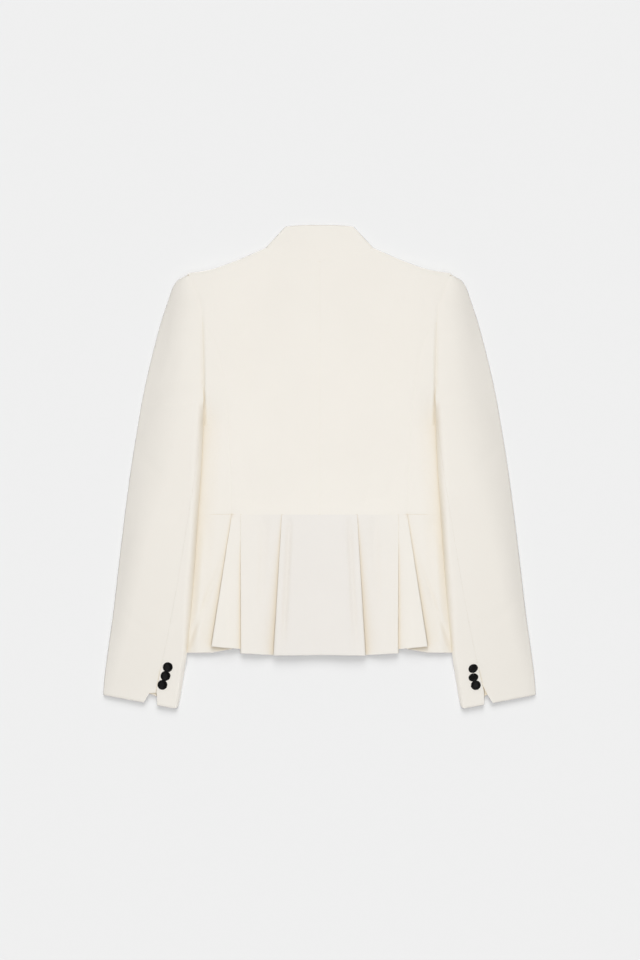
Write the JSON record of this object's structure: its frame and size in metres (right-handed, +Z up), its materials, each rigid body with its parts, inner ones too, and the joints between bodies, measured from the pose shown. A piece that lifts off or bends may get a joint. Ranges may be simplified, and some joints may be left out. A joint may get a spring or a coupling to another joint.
{
  "type": "fitted blazer",
  "caption": "Cream fitted blazer lying flat with its back up: stand collar, padded shoulders, long sleeves with vented, buttoned cuffs, and a pleated peplum below the waist seam.",
  "frame": {"origin": "on the surface that the blazer lies on, under the middle of its outline", "axes": "+X across the back, +Y from the cuffs to the collar, +Z up from the surface, out of the back"},
  "size_m": [0.6174, 0.6907, 0.0184],
  "materials": {
    "cloth": "ivory crepe suiting, matt, fine weave",
    "button": "black satin, softly domed"
  },
  "bodies": {
    "root": {"back_left": "cloth", "back_right": "cloth", "side_back_left": "cloth", "side_back_right": "cloth", "front_left": "cloth", "front_right": "cloth", "collar": "cloth", "peplum_back": "cloth", "peplum_front_left": "cloth", "peplum_front_right": "cloth", "top_sleeve_left": "cloth", "top_sleeve_right": "cloth", "under_sleeve_left": "cloth", "under_sleeve_right": "cloth", "button_left_1": "button", "button_left_2": "button", "button_left_3": "button", "button_right_1": "button", "button_right_2": "button", "button_right_3": "button"}
  },
  "joints": []
}
